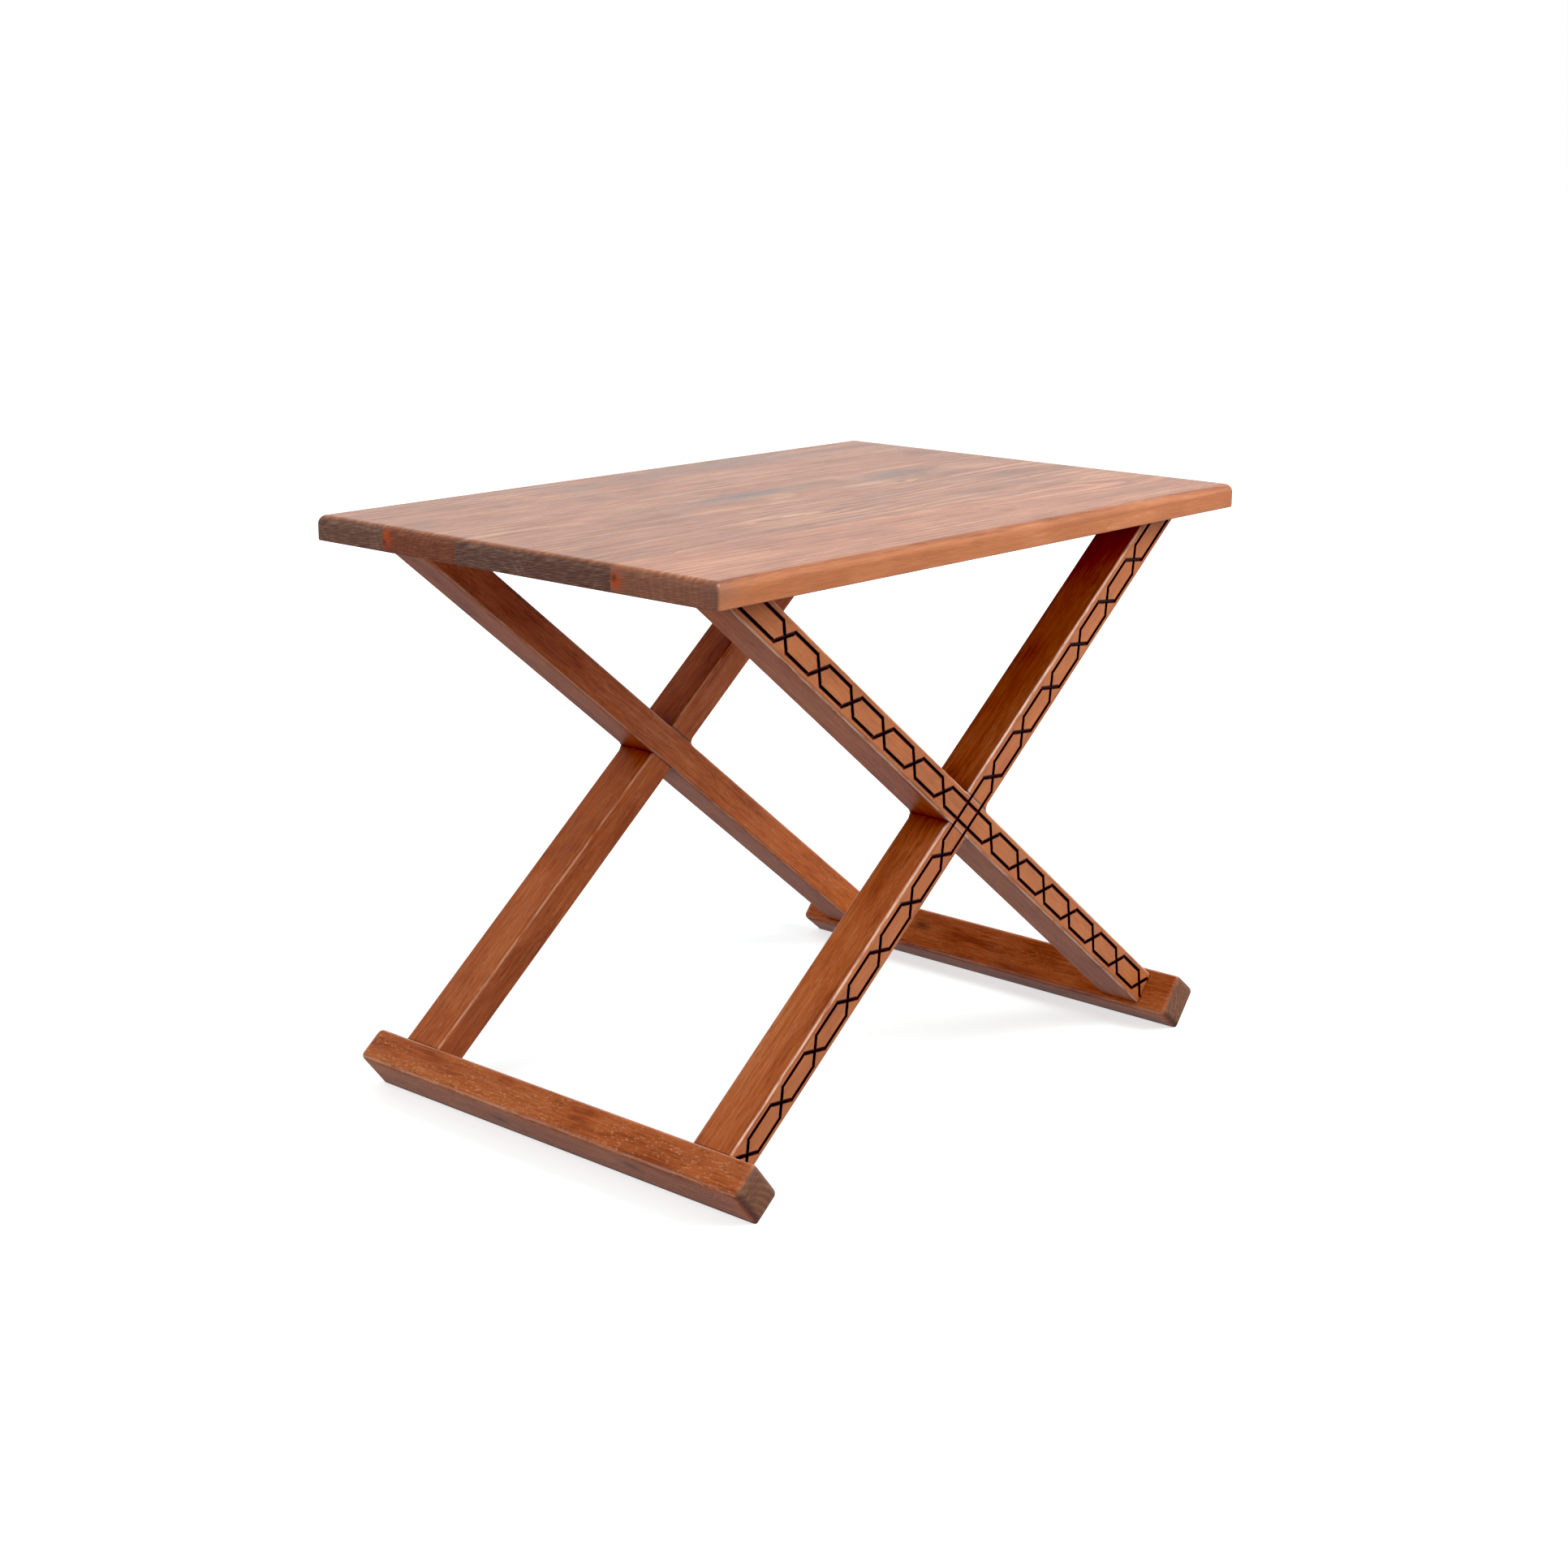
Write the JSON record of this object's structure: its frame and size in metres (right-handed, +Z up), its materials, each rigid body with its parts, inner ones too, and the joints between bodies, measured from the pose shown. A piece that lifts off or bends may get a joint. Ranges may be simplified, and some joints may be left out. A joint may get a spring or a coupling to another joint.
{
  "type": "quran stand",
  "caption": "Low wooden quran stand: a flat glued-up reading top on two cross-lapped X leg frames with engraved long-cell bands, standing on two foot rails.",
  "frame": {"origin": "on the floor, under the middle of the top", "axes": "+X along the top's length and grain, +Y across the top towards the rear X frame, +Z up"},
  "size_m": [0.6, 0.392, 0.445],
  "materials": {
    "top_wood": "reddish-brown stain, satin",
    "leg_wood": "reddish-brown stain, satin, worn pale on the edges",
    "rail_wood": "reddish-brown stain, satin, worn pale on the edges",
    "dowel_wood": "bare beech"
  },
  "bodies": {
    "root": {"top_stave_1": "top_wood", "top_stave_2": "top_wood", "top_stave_3": "top_wood", "top_stave_4": "top_wood", "top_stave_5": "top_wood", "front_leg_a": "leg_wood", "front_leg_b": "leg_wood", "rear_leg_a": "leg_wood", "rear_leg_b": "leg_wood", "foot_rail_left": "rail_wood", "foot_rail_right": "rail_wood", "dowel_foot_front_a_1": "dowel_wood", "dowel_foot_front_a_2": "dowel_wood", "dowel_top_front_a_1": "dowel_wood", "dowel_top_front_a_2": "dowel_wood", "dowel_foot_front_b_1": "dowel_wood", "dowel_foot_front_b_2": "dowel_wood", "dowel_top_front_b_1": "dowel_wood", "dowel_top_front_b_2": "dowel_wood", "dowel_foot_rear_a_1": "dowel_wood", "dowel_foot_rear_a_2": "dowel_wood", "dowel_top_rear_a_1": "dowel_wood", "dowel_top_rear_a_2": "dowel_wood", "dowel_foot_rear_b_1": "dowel_wood", "dowel_foot_rear_b_2": "dowel_wood", "dowel_top_rear_b_1": "dowel_wood", "dowel_top_rear_b_2": "dowel_wood"}
  },
  "joints": []
}
